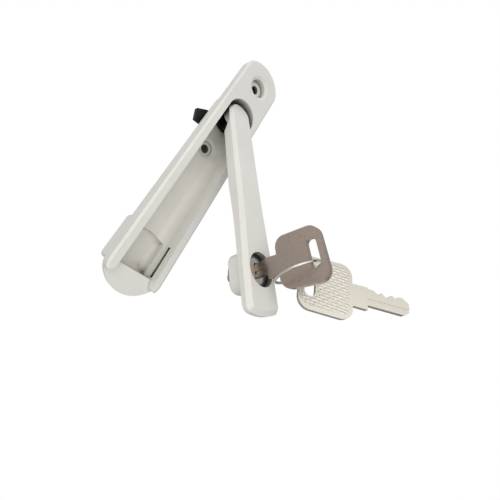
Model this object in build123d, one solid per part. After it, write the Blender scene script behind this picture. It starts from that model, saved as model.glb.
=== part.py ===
from build123d import *
import math
import os

os.makedirs("parts", exist_ok=True)

# Frame: X to the right, Y into the window frame, Z up. The origin is the spindle axis on the mounting face.

# Pose the handle is shown in
LIFT = 27.6
TURN = 16.8

# Base casting
RIM_Y = -5.6
HALF_W = 12.6
HALF_W_LOW = 12.2
TOP_R = 14.5
TOP_Z = 35.5
LOW_R = 14.0
LOW_Z = -94.1
CORNER_R = 6.0
RAIL_FALL = 0.9
CHANNEL_X = 8.5
CHANNEL_FLOOR = 6.8
CHANNEL_R = 5.0
WALL = 1.7
POCKET_LOW = -85.0
POCKET_TOP = -70.5
POCKET_FLOOR = 9.4
POCKET_X = 7.9
POCKET_ARCH = 2.0
POCKET_R = 2.2
END_Y = -1.9
RAIL_END_Z = -86.6
UPPER_SCREW_Z = 21.5
LOWER_SCREW_Z = -19.7
SCREW_R = 2.3
SEAT_R = 4.9
LOW_SEAT_R = 3.9
DISH_LIP = 1.5
DISH_DEEP = 0.7
PILLAR_BACK = 16.0
TOP_PILLAR_BACK = 10.0

# Spindle and its stack
SHAFT_R = 4.0
RUN = 0.05
BUSH_R = 5.2
BUSH_FLANGE_R = 6.4
BUSH_FACE = 5.6
BOSS_BACK = 11.0
BOSS_R = 8.2
LUG_T = 5.0
LUG_R = 2.1
SQUARE = 5.4
ARM_Y = 12.9
ARM_T = 2.4
ARM_REACH = 14.6
ARM_DROP = 7.0
LUG_LEN = 14.4
COLLAR_R = 6.0
COLLAR_T = 0.6
WASHER_R = 6.8
WASHER_T = 0.7
GROOVE_R = 3.5
GROOVE_W = 0.8
CIRCLIP_R = 5.6
CIRCLIP_GAP = 4.0
CIRCLIP_PLAY = 0.03
ARM_WASHER_R = 4.6
ARM_WASHER_T = 0.8
ARM_SCREW_R = 1.28
ARM_HEAD_R = 2.6
ARM_HEAD_T = 2.0
SCREW_SLOT = 0.7

# Lever, measured from its cross pin: l runs down the closed lever, d runs out of its front
PIN_Y = -8.6
PIN_Z = -12.0
PIN_R = 1.25
PIN_LEFT = 5.4
PIN_RIGHT = 6.6
FRONT_D = 3.3
TOP_L = -20.56
END_L = 77.44
LOCK_L = 63.48
HEAD_R = 7.0
BEVEL = 1.5
TIP_R = 2.2
WAIST = 6.8
WAIST_L = 20.0
SWELL = 6.9
SWELL_L = 45.0
LOCK_HALF = 7.5
TIP_ARCH = 1.3
PIN_BORE = 30.0
BACK_D = -2.5
BOSS_D = -6.2

# Lock and keys
HOUSING_R = 5.7
RECESS = 1.9
PLUG_R = 4.4
KEY_T = 1.8
BLADE_H = 4.8
SHANK_UP = 2.8
SHANK_LOW = 3.7
KEY_LEN = 31.0
BLADE_LEN = 11.4
BLADE_TIP_D = -5.2
BOW_LEN = 15.5
BOW_HALF = 8.2
BOW_D = KEY_LEN + BLADE_TIP_D
SLOT_A = 3.3
GROOVE_LEN = 12.0
CLIP_D = BOSS_D - 0.5
CLIP_T = 0.4
PLUG_BACK = BOSS_D - 1.3
CAM_D = PLUG_BACK - 0.2
CAM_T = 1.2
CAM_REACH = 9.8
RING_R = 7.3
WIRE_R = 0.42

FRONT_Y = PIN_Y - FRONT_D
GROOVE_Y = BOSS_BACK + WASHER_T + 0.05
ARM_BACK = ARM_Y + ARM_T


def cyl_y(r, y0, y1, x=0.0, z=0.0):
    """Round bar along Y."""
    return Pos(x, (y0 + y1) / 2, z) * Rot(-90, 0, 0) * Cylinder(r, y1 - y0)


def cone_y(r0, r1, y0, y1, x=0.0, z=0.0):
    """Cone along Y, radius r0 at y0 and r1 at y1."""
    return Pos(x, (y0 + y1) / 2, z) * Rot(-90, 0, 0) * Cone(r0, r1, y1 - y0)


def cyl_d(r, d0, d1, ld=LOCK_L):
    """Round bar along the lever's normal at the lock, d0 the deeper end."""
    return cyl_y(r, PIN_Y - d1, PIN_Y - d0, 0.0, PIN_Z - ld)


def block(x0, x1, y0, y1, z0, z1):
    """Box between two corners."""
    return Pos((x0 + x1) / 2, (y0 + y1) / 2, (z0 + z1) / 2) * Box(x1 - x0, y1 - y0, z1 - z0)


def lev_block(x0, x1, l0, l1, d0, d1):
    """Box in the closed lever's own measures."""
    return block(x0, x1, PIN_Y - d1, PIN_Y - d0, PIN_Z - l1, PIN_Z - l0)


def plate(face, y0, y1):
    """Face drawn in X and Z, given thickness from y0 to y1."""
    return Pos(0, y0, 0) * extrude(Plane.XZ * face, -(y1 - y0))


def side_plate(pts, half):
    """Outline in Y and Z, thick in X from -half to half."""
    return extrude(Plane.YZ * make_face(Polyline(*pts, close=True)), half, both=True)


def lev_pts(pts):
    """Lever measures turned into Y and Z."""
    return [(PIN_Y - d, PIN_Z - l) for l, d in pts]


def with_spindle(shape):
    """Turn with the spindle into the shown pose."""
    return shape.rotate(Axis.Y, -TURN)


def with_lever(shape):
    """Lift about the cross pin, then turn with the spindle."""
    return with_spindle(shape.rotate(Axis((0, PIN_Y, PIN_Z), (1, 0, 0)), -LIFT))


def save(name, shape):
    """Write one node."""
    export_step(shape, "parts/" + name + ".step")


def base_outline():
    """Plan of the plate: arched ends and almost straight sides."""
    top_c = TOP_Z - TOP_R
    low_c = LOW_Z + LOW_R
    zt = top_c + math.sqrt(TOP_R ** 2 - HALF_W ** 2)
    zb = low_c - math.sqrt(LOW_R ** 2 - HALF_W_LOW ** 2)
    edges = ThreePointArc((HALF_W, zt), (0, TOP_Z), (-HALF_W, zt))
    edges += Line((-HALF_W, zt), (-HALF_W_LOW, zb))
    edges += ThreePointArc((-HALF_W_LOW, zb), (0, LOW_Z), (HALF_W_LOW, zb))
    edges += Line((HALF_W_LOW, zb), (HALF_W, zt))
    return make_face(edges)


def channel_half():
    """Half section of the trough: straight wall, round corner, flat floor."""
    x = CHANNEL_X
    edges = Polyline((0, RIM_Y - 2), (x, RIM_Y - 2), (x, CHANNEL_FLOOR - CHANNEL_R))
    mid = CHANNEL_R * math.sqrt(0.5)
    edges += ThreePointArc(
        (x, CHANNEL_FLOOR - CHANNEL_R),
        (x - CHANNEL_R + mid, CHANNEL_FLOOR - CHANNEL_R + mid),
        (x - CHANNEL_R, CHANNEL_FLOOR),
    )
    edges += Polyline((x - CHANNEL_R, CHANNEL_FLOOR), (0, CHANNEL_FLOOR), (0, RIM_Y - 2))
    return make_face(edges)


def make_base():
    """One casting: plate with two rails, trough, lock pocket, spindle boss and screw seats."""
    body = plate(base_outline(), RIM_Y, 0.0)
    body = fillet(body.edges().filter_by(Axis.Y), CORNER_R)
    front = body.faces().sort_by(Axis.Y)[0]
    body = chamfer(front.edges(), RAIL_FALL)
    trough = plate(Pos(0, (POCKET_LOW + 11.0) / 2) * RectangleRounded(
        2 * (CHANNEL_X + WALL), 11.0 - POCKET_LOW, 6.0), 0.0, CHANNEL_FLOOR + WALL)
    box_low = POCKET_LOW - WALL
    box_top = POCKET_TOP + POCKET_ARCH + WALL
    box = plate(Pos(0, (box_low + box_top) / 2) * RectangleRounded(
        2 * (CHANNEL_X + 2.2), box_top - box_low, 2.0), 0.0, POCKET_FLOOR + 1.6)
    body += [trough, box, cyl_y(BOSS_R, 0.0, BOSS_BACK), cyl_y(4.6, 0.0, PILLAR_BACK, 0, LOWER_SCREW_Z)]
    body += cyl_y(4.6, -1.0, TOP_PILLAR_BACK, 0, UPPER_SCREW_Z)

    half = channel_half()
    right = extrude(Plane.XY.offset(POCKET_LOW) * half, -POCKET_LOW)
    cut = right + mirror(right, Plane.YZ)
    cut += revolve(half, Axis((0, 0, 0), (0, -1, 0)), 180)
    body -= cut

    arc_mid = POCKET_TOP + POCKET_ARCH
    pocket = Line((-POCKET_X, POCKET_TOP), (-POCKET_X, POCKET_LOW))
    pocket += Line((-POCKET_X, POCKET_LOW), (POCKET_X, POCKET_LOW))
    pocket += Line((POCKET_X, POCKET_LOW), (POCKET_X, POCKET_TOP))
    pocket += ThreePointArc((POCKET_X, POCKET_TOP), (0, arc_mid), (-POCKET_X, POCKET_TOP))
    hollow = plate(make_face(pocket), RIM_Y - 1, POCKET_FLOOR)
    body -= fillet(hollow.faces().sort_by(Axis.Y)[-1].edges(), POCKET_R)

    low = Pos(0, (LOW_Z - 2 + RAIL_END_Z) / 2) * Rectangle(4 * HALF_W, RAIL_END_Z - LOW_Z + 2)
    low += Pos(0, (LOW_Z + POCKET_LOW) / 2) * Rectangle(2 * CHANNEL_X, POCKET_LOW - LOW_Z + 0.02)
    rail_c = (CHANNEL_X + HALF_W_LOW) / 2
    for side in (-1, 1):
        low -= Pos(side * rail_c, RAIL_END_Z) * Circle((HALF_W_LOW - CHANNEL_X) / 2)
    body -= plate(low, RIM_Y - 1, END_Y)

    for z, face, seat, deep in (
        (UPPER_SCREW_Z, RIM_Y, SEAT_R, 3.4),
        (LOWER_SCREW_Z, CHANNEL_FLOOR, LOW_SEAT_R, 1.6),
    ):
        slope = DISH_LIP / DISH_DEEP
        body -= cone_y(seat + DISH_LIP + slope, seat, face - 1.0, face + DISH_DEEP, 0, z)
        body -= cyl_y(seat, face - 1.0, face + deep, 0, z)
        body -= cyl_y(SCREW_R, face, PILLAR_BACK + 1, 0, z)
    body -= cyl_y(BUSH_FLANGE_R + 0.2, 0, CHANNEL_FLOOR)
    body -= cyl_y(BUSH_R, CHANNEL_FLOOR - 1, BOSS_BACK + 1)

    slot_y = PIN_Y - CAM_D + CAM_T / 2
    slot_z = PIN_Z - LOCK_L
    slot_h = CAM_T / 2 + 0.4
    slot_low = POCKET_LOW + 0.8
    slot_top = slot_z + 5.0
    body -= block(POCKET_X - 1, CAM_REACH + 0.4, slot_y - slot_h, slot_y + slot_h, slot_low, slot_top)
    return body


def make_spindle():
    """Turned shaft with a cross lug for the lever and a square tail for the arm."""
    ang = math.radians(LIFT + 8.0)
    up = (math.sin(ang), math.cos(ang))
    nrm = (-math.cos(ang), math.sin(ang))
    start = (PIN_Y + LUG_R * nrm[0], PIN_Z + LUG_R * nrm[1])
    far = (start[0] + LUG_LEN * up[0], start[1] + LUG_LEN * up[1])
    foot = BUSH_FACE - RUN
    heel = PIN_Y + LUG_R
    pts = [start, far, (foot, 2.5), (foot, -5.0), (3.5, -6.5), (1.0, -7.2)]
    pts += [(heel, -7.2), (heel, PIN_Z), (PIN_Y, PIN_Z)]
    lug = side_plate(pts, LUG_T / 2)
    lug += Pos(0, PIN_Y, PIN_Z) * Rot(0, 90, 0) * Cylinder(LUG_R, LUG_T)
    body = lug + cyl_y(COLLAR_R, foot - COLLAR_T, foot) + cyl_y(SHAFT_R, foot - 1.0, ARM_Y - 0.1)
    body += block(-SQUARE / 2, SQUARE / 2, ARM_Y - 0.4, ARM_Y + ARM_T, -SQUARE / 2, SQUARE / 2)
    body -= Pos(0, PIN_Y, PIN_Z) * Rot(0, 90, 0) * Cylinder(PIN_R + RUN, LUG_T + 2)
    body -= cyl_y(1.3, ARM_Y - 4.0, ARM_Y + 4)
    groove = cyl_y(SHAFT_R + 1, GROOVE_Y, GROOVE_Y + GROOVE_W)
    groove -= cyl_y(GROOVE_R, GROOVE_Y - 0.05, GROOVE_Y + GROOVE_W + 0.05)
    return body - groove


def make_bush():
    """Flanged nylon bush in the floor of the trough."""
    body = cyl_y(BUSH_R - 0.02, CHANNEL_FLOOR - 0.2, BOSS_BACK)
    body += cyl_y(BUSH_FLANGE_R, BUSH_FACE, CHANNEL_FLOOR)
    return body - cyl_y(SHAFT_R + RUN, BUSH_FACE - 1, BOSS_BACK + 1)


def make_friction_washer():
    """Spring washer between the boss and the circlip."""
    body = cyl_y(WASHER_R, BOSS_BACK, BOSS_BACK + WASHER_T)
    return body - cyl_y(SHAFT_R + 0.1, BOSS_BACK - 1, BOSS_BACK + 2)


def make_circlip():
    """Open ring in the shaft's groove."""
    ring = cyl_y(CIRCLIP_R, GROOVE_Y + CIRCLIP_PLAY, GROOVE_Y + GROOVE_W - CIRCLIP_PLAY)
    ring -= cyl_y(GROOVE_R + CIRCLIP_PLAY, GROOVE_Y - 1, GROOVE_Y + 2)
    half = CIRCLIP_GAP / 2
    return ring - block(-half, half, GROOVE_Y - 1, GROOVE_Y + 2, 0, CIRCLIP_R + 2)


def make_arm_washer():
    """Plain washer under the arm's screw."""
    body = cyl_y(ARM_WASHER_R, ARM_BACK, ARM_BACK + ARM_WASHER_T)
    return body - cyl_y(ARM_SCREW_R + 0.12, ARM_BACK - 1, ARM_BACK + 2)


def make_arm_screw():
    """Slotted screw that holds the arm on the square."""
    seat = ARM_BACK + ARM_WASHER_T
    body = cyl_y(ARM_HEAD_R, seat, seat + ARM_HEAD_T) + cyl_y(ARM_SCREW_R, ARM_Y - 3.8, seat)
    half = SCREW_SLOT / 2
    return body - block(-half, half, seat + 0.6 * ARM_HEAD_T, seat + 2 * ARM_HEAD_T, -4, 4)


def make_arm():
    """Flat driving arm behind the base, square hole, rounded ends."""
    tip = make_face(Polyline((0, 5.4), (-9.0, 4.2), (-ARM_REACH, 2.6), (-ARM_REACH, -3.4), (-11.0, -4.2),
                             (0, -5.4), close=True))
    face = Rot(0, 0, ARM_DROP) * tip + Circle(5.6)
    face -= Rectangle(SQUARE + 0.1, SQUARE + 0.1)
    return plate(face, ARM_Y, ARM_Y + ARM_T)


def lever_outline():
    """Plan of the lever: round head, slight waist, wider lock end with a shallow arched tip."""
    head_z = PIN_Z - (TOP_L + HEAD_R)
    tip_z = PIN_Z - END_L
    pts = [(HEAD_R, head_z), (WAIST, PIN_Z - WAIST_L), (SWELL, PIN_Z - SWELL_L)]
    pts += [(LOCK_HALF, PIN_Z - LOCK_L), (LOCK_HALF, tip_z + TIP_ARCH)]
    down = Spline(*pts, tangents=[(0, -1), (0, -1)])
    tip = ThreePointArc(pts[-1], (0, tip_z), (-pts[-1][0], pts[-1][1]))
    back = [(-x, z) for x, z in reversed(pts)]
    up = Spline(*back, tangents=[(0, 1), (0, 1)])
    top = ThreePointArc(back[-1], (0, head_z + HEAD_R), pts[0])
    return make_face([down, tip, up, top])


def make_lever():
    """Cast lever: bevelled front, hollow head straddling the spindle lug, lock boss behind the free end."""
    body = plate(lever_outline(), FRONT_Y, PIN_Y + 6.0)
    body = fillet(body.edges().filter_by(Axis.Y).sort_by(Axis.Z)[:2], TIP_R)
    front = body.faces().sort_by(Axis.Y)[0]
    body = chamfer(front.edges(), BEVEL)
    under = [(TOP_L - 2, -0.7), (TOP_L + 1.6, -2.2), (-13.4, -2.2), (0, BACK_D), (30, BACK_D), (46, -1.1),
             (54, -0.6), (END_L + 2, 0.3), (END_L + 2, -9), (TOP_L - 2, -9)]
    body -= side_plate(lev_pts(under), 15)
    relief = [(-13.3, 1.25), (-6.5, 1.25), (-3, -1.0), (-1, -2.3), (0, -3), (-13.3, -3)]
    neck = side_plate(lev_pts(relief), 15)
    body -= neck - cyl_y(HEAD_R, FRONT_Y - 1, 10, 0, PIN_Z - (TOP_L + HEAD_R))
    plan = Pos(0, PIN_Z - LOCK_L - 0.4) * RectangleRounded(12.8, 13.4, 3.4)
    boss = plate(plan, PIN_Y - 1.0, PIN_Y - BOSS_D)
    boss = fillet(boss.faces().sort_by(Axis.Y)[-1].edges(), 1.0)
    body += boss
    body -= lev_block(-LUG_T / 2 - 0.2, LUG_T / 2 + 0.2, TOP_L + 1.7, 2.7, -4, FRONT_D - 0.9)
    body -= Pos(PIN_BORE / 2 - PIN_LEFT, PIN_Y, PIN_Z) * Rot(0, 90, 0) * Cylinder(PIN_R, PIN_BORE)
    body -= cyl_d(HOUSING_R + 0.04, BOSS_D - 3, FRONT_D + 6)
    body -= Pos(7, PIN_Y + 4.2, PIN_Z - LOCK_L) * Rot(0, 90, 0) * Cylinder(0.8, 8)
    return body


def make_housing():
    """Chromed lock cylinder set in the lever."""
    body = cyl_d(HOUSING_R, BOSS_D - 0.3, FRONT_D - RECESS)
    body -= cyl_d(PLUG_R + RUN, BOSS_D - 3, FRONT_D + 6)
    return body - Pos(7, PIN_Y + 4.2, PIN_Z - LOCK_L) * Rot(0, 90, 0) * Cylinder(0.8, 4.8)


WAFER_D = (0.6, -0.9, -2.4, -3.9)
WAFER_T = 0.8


def make_plug():
    """Turning plug with key slit, wafer slots and a flatted tail."""
    body = cyl_d(PLUG_R, PLUG_BACK, FRONT_D - RECESS - 0.2)
    tail = cyl_d(2.4, CAM_D - CAM_T, PLUG_BACK)
    tail &= lev_block(-1.7, 1.7, LOCK_L - 4, LOCK_L + 4, CAM_D - CAM_T - 1, PLUG_BACK + 0.5)
    body += tail
    half = BLADE_H / 2 + 0.1
    body -= lev_block(-KEY_T / 2 - 0.1, KEY_T / 2 + 0.1, LOCK_L - half, LOCK_L + half, BLADE_TIP_D - 0.4, 9)
    for d in WAFER_D:
        body -= lev_block(-2.0, 2.0, LOCK_L - 3.85, LOCK_L + 3.85, d - WAFER_T - 0.05, d + 0.05)
    groove = cyl_d(PLUG_R + 1, CLIP_D - CLIP_T - 0.1, CLIP_D + 0.1)
    groove -= cyl_d(3.7, CLIP_D - CLIP_T - 0.2, CLIP_D + 0.2)
    return body - groove - cyl_d(0.8, CAM_D - CAM_T - 1, PLUG_BACK + 1.2)


def make_wafers():
    """Spring-loaded lock plates, each with a window for the blade."""
    out = []
    half = BLADE_H / 2 + 0.05
    for d in WAFER_D:
        one = lev_block(-1.95, 1.95, LOCK_L - 3.8, LOCK_L + 3.8, d - WAFER_T, d)
        window = KEY_T / 2 + 0.05
        out.append(one - lev_block(-window, window, LOCK_L - half, LOCK_L + half, d - 2, d + 2))
    return Compound(children=out)


def make_clip():
    """Open spring clip in the plug's groove behind the lock cylinder."""
    body = cyl_d(5.3, CLIP_D - CLIP_T, CLIP_D) - cyl_d(3.75, CLIP_D - 2, CLIP_D + 1)
    return body - lev_block(-1.6, 1.6, LOCK_L, LOCK_L + 8, CLIP_D - 2, CLIP_D + 1)


def make_cam():
    """Locking cam: hub on the flatted tail and a finger for the pocket wall."""
    z = PIN_Z - LOCK_L
    y0 = PIN_Y - CAM_D
    face = Circle(3.6) + Pos((CAM_REACH - 2.2) / 2, 0) * Rectangle(CAM_REACH - 2.2, 4.4)
    face += Pos(CAM_REACH - 2.2, 0) * Circle(2.2)
    face -= Circle(2.45) & Rectangle(3.5, 8)
    return Pos(0, 0, z) * plate(face, y0, y0 + CAM_T)


def make_cam_screw():
    """Round-headed screw that holds the cam."""
    d0 = CAM_D - CAM_T
    head = fillet(cyl_d(1.9, d0 - 2.4, d0).edges().sort_by(Axis.Y)[-1:], 0.8)
    head -= lev_block(-0.25, 0.25, LOCK_L - 3, LOCK_L + 3, d0 - 3, d0 - 1.7)
    return head + cyl_d(0.78, d0, PLUG_BACK + 1.0)


def key_shape():
    """Flat key: square bow with rounded corners and a hanging slot, shank, notched blade."""
    tip = KEY_LEN
    h = BLADE_H / 2
    bow = Pos(BOW_LEN / 2, 0) * RectangleRounded(BOW_LEN, 2 * BOW_HALF, 3.6)
    bow -= Pos(SLOT_A, 0) * SlotOverall(8.6, 3.2, rotation=90)
    neck = BOW_LEN - 0.5
    stop = tip - BLADE_LEN
    upper = [(neck, -SHANK_UP), (stop, -SHANK_UP), (stop + 0.6, -h), (tip - 1.6, -h), (tip, -h / 2)]
    lower = [(tip, h / 2), (tip - 1.6, h), (stop, h), (stop, SHANK_LOW), (neck, SHANK_LOW)]
    shank = make_face(Polyline(*upper, *lower, close=True))
    for back, deep in ((8.4, 0.9), (6.0, 1.3), (3.6, 0.7)):
        a = tip - back
        notch = Polyline((a - deep - 0.4, -h - 0.1), (a, deep - h), (a + deep + 0.4, -h - 0.1), close=True)
        shank -= make_face(notch)
    body = extrude(bow + shank, KEY_T / 2, both=True)
    for side in (-1, 1):
        body -= Pos(tip + 0.5 - GROOVE_LEN / 2, 0.9, side * KEY_T / 2) * Box(GROOVE_LEN, 0.9, 0.7)
    return body


def make_key():
    """Key in the lock."""
    where = Plane((0, PIN_Y - BOW_D, PIN_Z - LOCK_L), x_dir=(0, 1, 0), z_dir=(-1, 0, 0))
    return where * key_shape()


def make_spare():
    """Second key hanging on the ring."""
    at = (5.48, PIN_Y - BOW_D + 12.99, PIN_Z - LOCK_L - 4.43)
    where = Plane(at, x_dir=(0.6904, -0.6542, -0.3088), z_dir=(0.6772, 0.7346, -0.0423))
    return where * key_shape()


def make_ring():
    """Wire ring through both bows."""
    where = Plane((1.3, PIN_Y - BOW_D + 10.43, PIN_Z - LOCK_L - 3.62), z_dir=(0.136, -0.216, -0.967))
    return where * Torus(RING_R, WIRE_R)


def main():
    """Write every node in the shown pose."""
    save("base", make_base())
    save("spindle_bush", make_bush())
    save("spindle", with_spindle(make_spindle()))
    save("friction_washer", with_spindle(make_friction_washer()))
    save("spindle_circlip", with_spindle(make_circlip()))
    save("drive_arm", with_spindle(make_arm()))
    save("arm_washer", with_spindle(make_arm_washer()))
    save("arm_screw", with_spindle(make_arm_screw()))
    pin = Pos((PIN_RIGHT - PIN_LEFT) / 2 + 0.05, PIN_Y, PIN_Z) * Rot(0, 90, 0) * Cylinder(
        PIN_R - 0.01, PIN_RIGHT + PIN_LEFT)
    save("cross_pin", with_lever(pin))
    save("lever", with_lever(make_lever()))
    save("lock_housing", with_lever(make_housing()))
    grub = Pos(5.6, PIN_Y + 4.2, PIN_Z - LOCK_L) * Rot(0, 90, 0) * Cylinder(0.78, 1.7)
    save("housing_pin", with_lever(grub))
    save("lock_plug", with_lever(make_plug()))
    save("wafers", with_lever(make_wafers()))
    save("plug_clip", with_lever(make_clip()))
    save("cam", with_lever(make_cam()))
    save("cam_screw", with_lever(make_cam_screw()))
    save("key", with_lever(make_key()))
    save("key_ring", with_lever(make_ring()))
    save("spare_key", with_lever(make_spare()))


main()
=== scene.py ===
import math

import bpy
import numpy as np
from mathutils import Matrix, Vector


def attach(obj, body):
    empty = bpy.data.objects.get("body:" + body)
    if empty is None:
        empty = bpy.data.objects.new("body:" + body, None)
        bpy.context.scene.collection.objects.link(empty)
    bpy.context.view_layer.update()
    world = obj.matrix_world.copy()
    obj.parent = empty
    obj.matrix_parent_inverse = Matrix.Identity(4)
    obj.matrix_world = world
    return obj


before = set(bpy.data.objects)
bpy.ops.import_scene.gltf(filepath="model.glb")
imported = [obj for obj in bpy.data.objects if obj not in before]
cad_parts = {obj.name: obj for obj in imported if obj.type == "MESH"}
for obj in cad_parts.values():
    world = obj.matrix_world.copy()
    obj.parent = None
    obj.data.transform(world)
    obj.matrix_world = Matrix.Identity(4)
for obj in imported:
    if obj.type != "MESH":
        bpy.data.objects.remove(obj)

bl_info = {
    "name": "Locking window handle",
    "version": (1, 0, 0),
    "blender": (4, 5, 0),
    "location": "View3D > Sidebar > Handle",
    "description": "Finishes and stage for a lift-and-turn window handle with a key lock",
    "category": "Object",
}

MM = 0.001

# The shown pose of the lever and its cross pin, in degrees and millimetres
LIFT = 27.6
TURN = 16.8
PIN = (0.0, -8.6, -12.0)

# The spare key in the closed lever's frame: outer end of the bow, long axis, face normal
SPARE_AT = (5.48, -21.41, -79.91)
SPARE_LONG = (0.6904, -0.6542, -0.3088)
SPARE_FACE = (0.6772, 0.7346, -0.0423)

# The spare key's bow and its rolled dashes, in millimetres
BOW_LEN = 15.5
BOW_HALF = 8.2
BOW_SLOT_AT = 3.3
BOW_SLOT_HALF = 2.7
BOW_SLOT_R = 1.6
KEY_HALF_T = 0.9
BORDER = 1.0
BORDER_CORNER = 2.7
DASH_STEP = 2.4
DASH_SLANT = 4.0
DASH_FADE = 0.25
DASH_TO_SLOT = 0.55

# Shares of a dash's cell, across its row and along it, that the dash takes up
DASH_WIDE = 0.72
DASH_LONG = 0.82

# The skin that carries the dashes, in millimetres: grid, depth under the key's face, and its rims
SKIN_STEP = 0.085
SKIN_INSET = 0.5
SKIN_TUCK = 0.004
SKIN_SINK = 0.03
SKIN_PAST_DASHES = 0.15
SKIN_TO_SLOT = 0.3

# The photographer's camera: place in millimetres, unit axes and frame shift
CAMERA_AT = (-45.882, -96.663, -81.120)
CAMERA_RIGHT = (0.621126, -0.617150, 0.483042)
CAMERA_DOWN = (0.605458, -0.013483, -0.795763)
CAMERA_AHEAD = (0.497618, 0.786730, 0.365283)
CAMERA_SHIFT = (0.06447, -0.11385)

# Stage, in metres, and the direction in which the room is brightest
AIM = (0.0, -0.02, -0.04)
KEY_LIGHT_AT = (-0.16, -0.48, -0.08)
FILL_LIGHT_AT = (-0.5, -0.14, 0.1)
LIGHT_SIZE = 0.6
BRIGHT_SIDE = (-0.68, -0.45, 0.58)
FLOOR_Z = -0.5
FLOOR_HALF = 0.4


def linear(hex_colour):
    """Hex sRGB colour as linear RGB."""
    out = []
    for i in (1, 3, 5):
        c = int(hex_colour[i:i + 2], 16) / 255
        out.append(c / 12.92 if c <= 0.04045 else ((c + 0.055) / 1.055) ** 2.4)
    return tuple(out)


def add(tree, kind, links=None, **settings):
    """Adds a node, sets its properties, socket values and links, and returns it."""
    node = tree.nodes.new(kind)
    for key, value in settings.items():
        setattr(node, key, value)
    for key, value in (links or {}).items():
        socket = node.inputs[key]
        if isinstance(value, bpy.types.NodeSocket):
            tree.links.new(value, socket)
        else:
            socket.default_value = value
    return node


def new_material(name):
    """Empty material with a Principled shader linked to its output."""
    mat = bpy.data.materials.new(name)
    mat.use_nodes = True
    tree = mat.node_tree
    tree.nodes.clear()
    shader = add(tree, "ShaderNodeBsdfPrincipled")
    add(tree, "ShaderNodeOutputMaterial", {"Surface": shader.outputs[0]})
    return mat, tree, shader


def set_sockets(shader, **values):
    """Sets a shader's own sockets; underscores stand for spaces."""
    for key, value in values.items():
        shader.inputs[key.replace("_", " ")].default_value = value


def object_mm(tree):
    """Object coordinates in millimetres."""
    coord = add(tree, "ShaderNodeTexCoord")
    return add(tree, "ShaderNodeVectorMath", {0: coord.outputs["Object"], 1: (1 / MM,) * 3},
               operation="MULTIPLY").outputs[0]


def bumped(tree, shader, height, depth_mm, strength):
    """Bump from a height between 0 and 1, in millimetres."""
    bump = add(tree, "ShaderNodeBump", {"Height": height, "Distance": depth_mm * MM, "Strength": strength})
    tree.links.new(bump.outputs[0], shader.inputs["Normal"])


def noise(tree, vector, scale, detail=2.0, rough=0.5):
    """Noise factor over a scaled vector."""
    return add(tree, "ShaderNodeTexNoise", {"Vector": vector, "Scale": scale, "Detail": detail,
                                            "Roughness": rough}).outputs[0]


def ramp(tree, factor, low, high, a, b):
    """Colour that goes from a to b as factor goes from low to high."""
    node = add(tree, "ShaderNodeValToRGB", {"Fac": factor})
    node.color_ramp.elements[0].position = low
    node.color_ramp.elements[1].position = high
    node.color_ramp.elements[0].color = (*a, 1)
    node.color_ramp.elements[1].color = (*b, 1)
    return node.outputs[0]


def span(tree, factor, low, high):
    """Factor 0 to 1 as a value between low and high."""
    return add(tree, "ShaderNodeMapRange", {"Value": factor, "To Min": low, "To Max": high}).outputs[0]


def powder_coat(name, colour, props):
    """Satin white powder coat on a zinc casting: faint orange peel, and painted shade that darkens deep
    narrow gaps.
    """
    mat, tree, shader = new_material(name)
    at = object_mm(tree)
    broad = noise(tree, at, 0.05, 3.0)
    dark = tuple(0.955 * c for c in colour)
    paint = ramp(tree, broad, 0.35, 0.65, dark, colour)
    reach = {"Distance": props.painted_shade_reach_mm * MM}
    # Painted shade: an occlusion factor, within the set reach, multiplies a near-black tone into the
    # coat's colour in deep narrow gaps, holes and recesses
    open_sky = add(tree, "ShaderNodeAmbientOcclusion", reach, samples=8).outputs["AO"]
    shade = ramp(tree, open_sky, 0.3, 0.6, linear("#1A1917"), (1, 1, 1))
    layers = {"Fac": 1.0, "Color1": paint, "Color2": shade}
    both = add(tree, "ShaderNodeMixRGB", layers, blend_type="MULTIPLY")
    tree.links.new(both.outputs[0], shader.inputs["Base Color"])
    tree.links.new(span(tree, noise(tree, at, 0.4), props.coat_rough - 0.05, props.coat_rough + 0.07),
                   shader.inputs["Roughness"])
    set_sockets(shader, IOR=1.5, Coat_Weight=0.15, Coat_Roughness=0.25)
    bumped(tree, shader, noise(tree, at, 0.9, 2.0), props.peel_mm, 0.5)
    return mat


def brushed_metal(name, colour, rough, grain=(3.0, 0.15, 3.0), depth_mm=0.004):
    """Plated or rolled metal with a fine drawn grain: gives the eye soft streaked reflections."""
    mat, tree, shader = new_material(name)
    at = object_mm(tree)
    along = add(tree, "ShaderNodeVectorMath", {0: at, 1: grain}, operation="MULTIPLY").outputs[0]
    streak = noise(tree, along, 1.0, 3.0, 0.6)
    dark = tuple(0.86 * c for c in colour)
    tree.links.new(ramp(tree, streak, 0.3, 0.7, dark, colour), shader.inputs["Base Color"])
    tree.links.new(span(tree, streak, rough - 0.06, rough + 0.08), shader.inputs["Roughness"])
    set_sockets(shader, Metallic=1.0)
    bumped(tree, shader, streak, depth_mm, 0.35)
    return mat


def plain_metal(name, colour, rough):
    """Smooth plated metal: clear reflections broken a little by handling marks."""
    mat, tree, shader = new_material(name)
    at = object_mm(tree)
    marks = noise(tree, at, 0.6, 4.0, 0.65)
    set_sockets(shader, Base_Color=(*colour, 1), Metallic=1.0)
    tree.links.new(span(tree, marks, rough - 0.03, rough + 0.06), shader.inputs["Roughness"])
    return mat


def dull_black(name, colour, rough, metallic=0.0):
    """Black part, moulded nylon or oxidised steel: a soft dull sheen only."""
    mat, tree, shader = new_material(name)
    at = object_mm(tree)
    grain = noise(tree, at, 1.6, 3.0)
    set_sockets(shader, Base_Color=(*colour, 1), Metallic=metallic)
    tree.links.new(span(tree, grain, rough - 0.05, rough + 0.08), shader.inputs["Roughness"])
    bumped(tree, shader, grain, 0.01, 0.3)
    return mat


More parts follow.
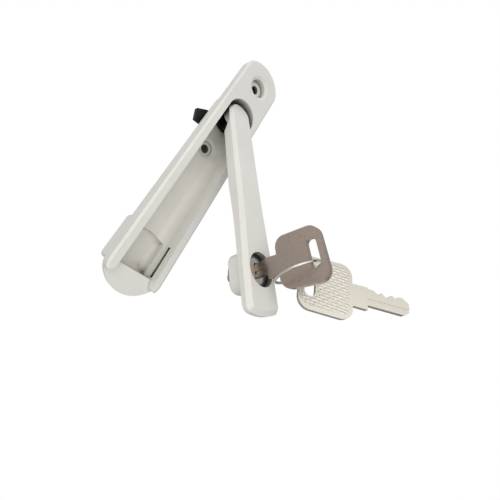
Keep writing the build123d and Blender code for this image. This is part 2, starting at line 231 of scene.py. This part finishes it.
def dress(node, mat, edge_mm=0.0, segments=3, angle=38.0):
    """Gives a CAD node its material and rounds its sharp edges."""
    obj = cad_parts[node]
    obj.data.materials.clear()
    obj.data.materials.append(mat)
    if edge_mm > 0:
        bevel = obj.modifiers.new("edge", "BEVEL")
        bevel.width = edge_mm * MM
        bevel.segments = segments
        bevel.limit_method = "ANGLE"
        bevel.angle_limit = math.radians(angle)


def lever_pose():
    """Matrix that takes the closed lever's millimetre frame to the shown pose, in millimetres."""
    lift = Matrix.Rotation(math.radians(-LIFT), 4, "X")
    turn = Matrix.Rotation(math.radians(-TURN), 4, "Y")
    return turn @ (Matrix.Translation(PIN) @ lift @ Matrix.Translation(-Vector(PIN)))


def spare_frame():
    """Origin, in millimetres, and unit axes of the spare key in the shown pose: long, wide, face."""
    m = lever_pose()
    at = np.array(m @ Vector(SPARE_AT))
    long = np.array(m.to_3x3() @ Vector(SPARE_LONG))
    face = np.array(m.to_3x3() @ Vector(SPARE_FACE))
    return at, long, np.cross(face, long), face


def mesh_object(name, verts, faces, mat, smooth=True):
    """Mesh object at the origin from vertices in metres."""
    mesh = bpy.data.meshes.new(name)
    mesh.from_pydata([tuple(v) for v in verts], [], [tuple(f) for f in faces])
    mesh.update()
    mesh.polygons.foreach_set("use_smooth", np.full(len(mesh.polygons), smooth))
    obj = bpy.data.objects.new(name, mesh)
    bpy.context.scene.collection.objects.link(obj)
    obj.data.materials.append(mat)
    return obj


class HandleFinish(bpy.types.PropertyGroup):
    """Finishes of the handle."""

    coat: bpy.props.FloatVectorProperty(
        name="Coat", description="Powder coat of base and lever",
        size=3, subtype="COLOR", min=0, max=1, default=linear("#E8E6DF"))
    coat_rough: bpy.props.FloatProperty(
        name="Coat roughness", description="Gloss of the powder coat", default=0.42, min=0.1, max=1)
    peel_mm: bpy.props.FloatProperty(
        name="Orange peel", description="Depth of the coat's texture, mm", default=0.02, min=0)
    painted_shade_reach_mm: bpy.props.FloatProperty(
        name="Gap reach", description="Reach within which near walls darken a gap, mm", default=6.5, min=0)
    key_tone: bpy.props.FloatVectorProperty(
        name="Key", description="Satin nickel of the key in the lock",
        size=3, subtype="COLOR", min=0, max=1, default=linear("#C4B4A8"))
    spare_tone: bpy.props.FloatVectorProperty(
        name="Spare key", description="Bright nickel of the spare key",
        size=3, subtype="COLOR", min=0, max=1, default=linear("#D9D4C9"))
    edge_mm: bpy.props.FloatProperty(
        name="Cast edge", description="Rounding of cast edges, mm", default=0.7, min=0)
    lever_edge_mm: bpy.props.FloatProperty(
        name="Lever edge", description="Rounding of the lever's bevels, mm", default=1.0, min=0)
    weave_mm: bpy.props.FloatProperty(
        name="Weave height", description="Height of the spare bow's dashes, mm", default=0.16, min=0)
    weave_pitch: bpy.props.FloatProperty(
        name="Weave pitch", description="Distance between dash rows, mm", default=0.86, min=0.2)


class HandleStage(bpy.types.PropertyGroup):
    """Camera and light."""

    lens: bpy.props.FloatProperty(name="Lens", description="Focal length, mm", default=18.087)
    key_power: bpy.props.FloatProperty(
        name="Key light", description="Power of the main light, W", default=1.05)
    fill_power: bpy.props.FloatProperty(
        name="Fill light", description="Power of the side light, W", default=0.6)
    sky: bpy.props.FloatProperty(
        name="Sky", description="Strength of the soft surrounding light", default=0.66)


class HANDLE_OT_castings(bpy.types.Operator):
    """Coats the base and the lever and rounds their cast edges"""

    bl_idname = "handle.castings"
    bl_label = "Castings"

    def execute(self, context):
        """Assigns the coat."""
        props = context.scene.handle_finish
        coat = powder_coat("white powder coat on zinc", tuple(props.coat), props)
        dress("base", coat, props.edge_mm)
        dress("lever", coat, props.lever_edge_mm, 4)
        return {"FINISHED"}


class HANDLE_OT_spindle(bpy.types.Operator):
    """Finishes the spindle, its bush and what is stacked behind the base"""

    bl_idname = "handle.spindle"
    bl_label = "Spindle"

    def execute(self, context):
        """Assigns plated steel, spring steel and black finishes."""
        zinc = brushed_metal("zinc plate on turned steel", linear("#C9C8C2"), 0.38)
        spring = brushed_metal("bright spring steel, rolled", linear("#CFCFCC"), 0.3)
        nylon = dull_black("black nylon, moulded", linear("#141414"), 0.5)
        oxide = dull_black("black oxide on pressed steel", linear("#1E1E20"), 0.42, 0.3)
        for node in ("arm_washer", "arm_screw", "cross_pin", "housing_pin"):
            dress(node, zinc, 0.15, 2)
        dress("spindle", oxide, 0.15, 2)
        for node in ("friction_washer", "spindle_circlip", "plug_clip"):
            dress(node, spring)
        dress("spindle_bush", nylon, 0.2, 2)
        dress("drive_arm", oxide, 0.3, 2)
        dress("cam_screw", oxide, 0.15, 2)
        return {"FINISHED"}


class HANDLE_OT_lock(bpy.types.Operator):
    """Finishes the lock cylinder, plug, wafers and cam"""

    bl_idname = "handle.lock"
    bl_label = "Lock"

    def execute(self, context):
        """Assigns chrome, brass and plated steel."""
        housing_chrome = plain_metal("chrome plate on die cast zinc", linear("#6A696A"), 0.16)
        plug_chrome = plain_metal("chrome plate on turned brass", linear("#C4BFB8"), 0.14)
        dress("lock_housing", housing_chrome, 0.15, 2)
        dress("lock_plug", plug_chrome, 0.12, 2)
        dress("wafers", brushed_metal("stamped brass", linear("#C9A45C"), 0.35))
        dress("cam", brushed_metal("zinc plate on stamped steel", linear("#BDBCB6"), 0.4), 0.2, 2)
        return {"FINISHED"}


class HANDLE_OT_keys(bpy.types.Operator):
    """Finishes both keys and the ring, and adds the rolled dashes on the spare key's bow"""

    bl_idname = "handle.keys"
    bl_label = "Keys"

    def weave(self, name, side, props, mat):
        """Skin on one face of the spare bow.

        The dashes are rounded bars in staggered rows that stand weave_mm above the key's face. Between
        them the skin lies a hair under that face, and at the plain border and the slot a little deeper.
        """
        at, long, wide, face = spare_frame()
        ends = np.arange(SKIN_INSET, BOW_LEN - SKIN_INSET, SKIN_STEP)
        sides = np.arange(SKIN_INSET - BOW_HALF, BOW_HALF - SKIN_INSET, SKIN_STEP)
        a, b = np.meshgrid(ends, sides, indexing="ij")
        slant = math.radians(DASH_SLANT)
        u = a * math.cos(slant) + b * math.sin(slant)
        v = -a * math.sin(slant) + b * math.cos(slant)
        row = np.floor(v / props.weave_pitch)
        across = (v / props.weave_pitch - row - 0.5) * 2
        run = (u / DASH_STEP + 0.5 * (row % 2)) % 1.0
        along = np.abs(run - 0.5) * 2
        bar = np.clip(1 - (np.abs(across) / DASH_WIDE) ** 3, 0, 1)
        bar = bar * np.clip(1 - (along / DASH_LONG) ** 6, 0, 1)
        inset = BORDER + BORDER_CORNER
        qx = np.abs(a - BOW_LEN / 2) - (BOW_LEN / 2 - inset)
        qy = np.abs(b) - (BOW_HALF - inset)
        corner = np.hypot(np.maximum(qx, 0), np.maximum(qy, 0))
        edge = corner + np.minimum(np.maximum(qx, qy), 0) - BORDER_CORNER
        slot = np.hypot(a - BOW_SLOT_AT, np.maximum(np.abs(b) - BOW_SLOT_HALF, 0)) - BOW_SLOT_R
        fade = np.clip(-edge / DASH_FADE, 0, 1) * np.clip((slot - DASH_TO_SLOT) / DASH_FADE, 0, 1)
        height = KEY_HALF_T + props.weave_mm * bar * fade - SKIN_SINK * (1 - fade) - SKIN_TUCK
        pts = (at + a[..., None] * long + b[..., None] * wide + side * height[..., None] * face) * MM
        n, m = a.shape
        keep = (edge < SKIN_PAST_DASHES) & (slot > SKIN_TO_SLOT)
        index = np.arange(n * m).reshape(n, m)
        quads = np.stack([index[:-1, :-1], index[1:, :-1], index[1:, 1:], index[:-1, 1:]], -1)
        whole = keep[:-1, :-1] & keep[1:, :-1] & keep[1:, 1:] & keep[:-1, 1:]
        quads = quads[whole]
        if side < 0:
            quads = quads[:, ::-1]
        used, flat = np.unique(quads, return_inverse=True)
        obj = mesh_object(name, pts.reshape(-1, 3)[used], flat.reshape(quads.shape), mat)
        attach(obj, "key_body")

    def execute(self, context):
        """Assigns nickel finishes and builds the dashes."""
        props = context.scene.handle_finish
        even_grain = (1.2, 1.2, 1.2)
        nickel = brushed_metal("satin nickel on stamped brass", tuple(props.key_tone), 0.34, even_grain)
        bright = plain_metal("bright nickel on rolled brass", tuple(props.spare_tone), 0.42)
        wire = plain_metal("bright spring wire", linear("#D8D4CE"), 0.18)
        dress("key", nickel, 0.22, 2)
        dress("spare_key", bright, 0.2, 2)
        dress("key_ring", wire)
        self.weave("spare_weave_front", -1, props, bright)
        self.weave("spare_weave_back", 1, props, bright)
        return {"FINISHED"}


class HANDLE_OT_stage(bpy.types.Operator):
    """Adds the floor, soft light and the camera"""

    bl_idname = "handle.stage"
    bl_label = "Stage"

    def lamp(self, name, place, power):
        """Square area light aimed at the handle, in metres."""
        data = bpy.data.lights.new(name, "AREA")
        data.shape = "SQUARE"
        data.size = LIGHT_SIZE
        data.energy = power
        obj = bpy.data.objects.new(name, data)
        obj.location = place
        obj.rotation_euler = (Vector(AIM) - Vector(place)).to_track_quat("-Z", "Y").to_euler()
        bpy.context.scene.collection.objects.link(obj)
        return obj

    def execute(self, context):
        """Builds the stage."""
        scene = context.scene
        props = scene.handle_stage
        scene.view_settings.view_transform = "Standard"
        world = bpy.data.worlds.new("white room")
        scene.world = world
        world.use_nodes = True
        tree = world.node_tree
        tree.nodes.clear()
        path = add(tree, "ShaderNodeLightPath")
        coord = add(tree, "ShaderNodeTexCoord")
        side = add(tree, "ShaderNodeVectorMath", {0: coord.outputs["Generated"], 1: BRIGHT_SIDE},
                   operation="DOT_PRODUCT").outputs["Value"]
        limits = {"Value": side, "From Min": -1.0, "From Max": 1.0}
        rise = add(tree, "ShaderNodeMapRange", limits).outputs[0]
        shade = ramp(tree, rise, 0.2, 0.8, linear("#A4A4A6"), linear("#FFFFFF"))
        room = add(tree, "ShaderNodeBackground", {"Color": shade, "Strength": props.sky})
        white = add(tree, "ShaderNodeBackground", {"Color": (1, 1, 1, 1), "Strength": 1.0})
        mix = add(tree, "ShaderNodeMixShader", {0: path.outputs["Is Camera Ray"], 1: room.outputs[0],
                                                2: white.outputs[0]})
        add(tree, "ShaderNodeOutputWorld", {"Surface": mix.outputs[0]})

        mat, tree, shader = new_material("pale painted floor")
        set_sockets(shader, Base_Color=(*linear("#F2F2F0"), 1), Roughness=0.8)
        seen = add(tree, "ShaderNodeEmission", {"Color": (1, 1, 1, 1), "Strength": 1.0})
        ray = add(tree, "ShaderNodeLightPath").outputs["Is Camera Ray"]
        white = add(tree, "ShaderNodeMixShader", {0: ray, 1: shader.outputs[0], 2: seen.outputs[0]})
        out = next(n for n in tree.nodes if n.type == "OUTPUT_MATERIAL")
        tree.links.new(white.outputs[0], out.inputs["Surface"])
        corners = ((-1, -1), (1, -1), (1, 1), (-1, 1))
        verts = [(x * FLOOR_HALF, y * FLOOR_HALF, FLOOR_Z) for x, y in corners]
        floor = mesh_object("floor", verts, [(0, 1, 2, 3)], mat, False)

        key = self.lamp("key_light", KEY_LIGHT_AT, props.key_power)
        fill = self.lamp("left_light", FILL_LIGHT_AT, props.fill_power)

        cam = bpy.data.cameras.new("photo_camera")
        cam.sensor_fit = "HORIZONTAL"
        cam.sensor_width = 36.0
        cam.lens = props.lens
        cam.shift_x, cam.shift_y = CAMERA_SHIFT
        cam.clip_start = 0.005
        obj = bpy.data.objects.new("photo_camera", cam)
        turn = Matrix((Vector(CAMERA_RIGHT), -Vector(CAMERA_DOWN), -Vector(CAMERA_AHEAD))).transposed()
        obj.matrix_world = Matrix.Translation(Vector(CAMERA_AT) * MM) @ turn.to_4x4()
        scene.collection.objects.link(obj)
        scene.camera = obj
        return {"FINISHED"}


class HANDLE_PT_panel(bpy.types.Panel):
    """Finishes and stage in the sidebar"""

    bl_idname = "HANDLE_PT_panel"
    bl_label = "Locking window handle"
    bl_space_type = "VIEW_3D"
    bl_region_type = "UI"
    bl_category = "Handle"

    def draw(self, context):
        """Draws the settings and buttons."""
        for group in (context.scene.handle_finish, context.scene.handle_stage):
            for key in group.__annotations__:
                self.layout.prop(group, key)
        for op in OPERATORS:
            self.layout.operator(op.bl_idname)


OPERATORS = (HANDLE_OT_castings, HANDLE_OT_spindle, HANDLE_OT_lock, HANDLE_OT_keys, HANDLE_OT_stage)
CLASSES = (HandleFinish, HandleStage, *OPERATORS, HANDLE_PT_panel)


def register():
    """Registers the classes and the scene's settings."""
    for cls in CLASSES:
        bpy.utils.register_class(cls)
    bpy.types.Scene.handle_finish = bpy.props.PointerProperty(type=HandleFinish)
    bpy.types.Scene.handle_stage = bpy.props.PointerProperty(type=HandleStage)


def unregister():
    """Removes what register added."""
    del bpy.types.Scene.handle_stage
    del bpy.types.Scene.handle_finish
    for cls in reversed(CLASSES):
        bpy.utils.unregister_class(cls)


def main():
    """Builds the handle's finishes and stage."""
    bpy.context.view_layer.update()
    register()
    bpy.ops.handle.castings()
    bpy.ops.handle.spindle()
    bpy.ops.handle.lock()
    bpy.ops.handle.keys()
    bpy.ops.handle.stage()


if __name__ == "__main__":
    main()
